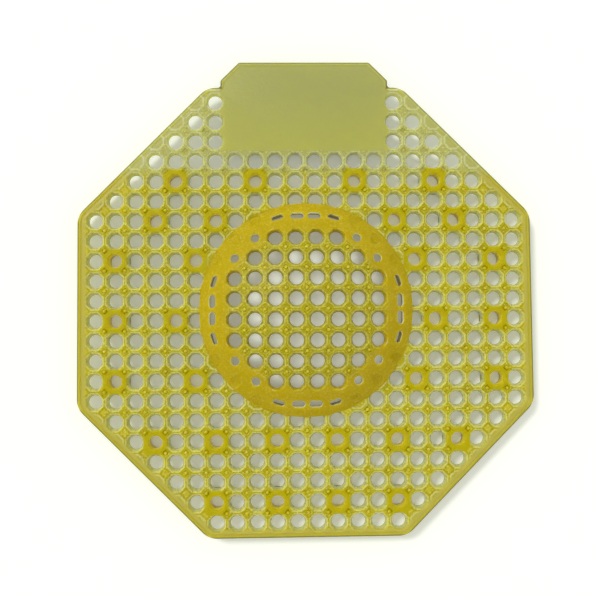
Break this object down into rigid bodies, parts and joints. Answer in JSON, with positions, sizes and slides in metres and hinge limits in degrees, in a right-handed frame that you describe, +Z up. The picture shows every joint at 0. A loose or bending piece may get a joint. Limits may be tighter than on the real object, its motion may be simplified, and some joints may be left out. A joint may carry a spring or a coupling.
{
  "type": "urinal mat",
  "caption": "Octagonal perforated mat of soft translucent vinyl for a urinal, with a domed middle over the drain, a bare label tab and ring feet underneath.",
  "frame": {"origin": "on the floor plane the feet stand on, below the middle of the mat's bounding box, label tab included", "axes": "+Z up through the dome, +Y towards the label tab, +X to the right when the mat is seen from above with the tab away from the viewer"},
  "size_m": [0.176, 0.184, 0.021],
  "materials": {
    "vinyl": "soft translucent yellow vinyl, satin, deeper in colour where it is thick and paler at the thin label end"
  },
  "bodies": {
    "root": {"mat": "vinyl"}
  },
  "joints": []
}
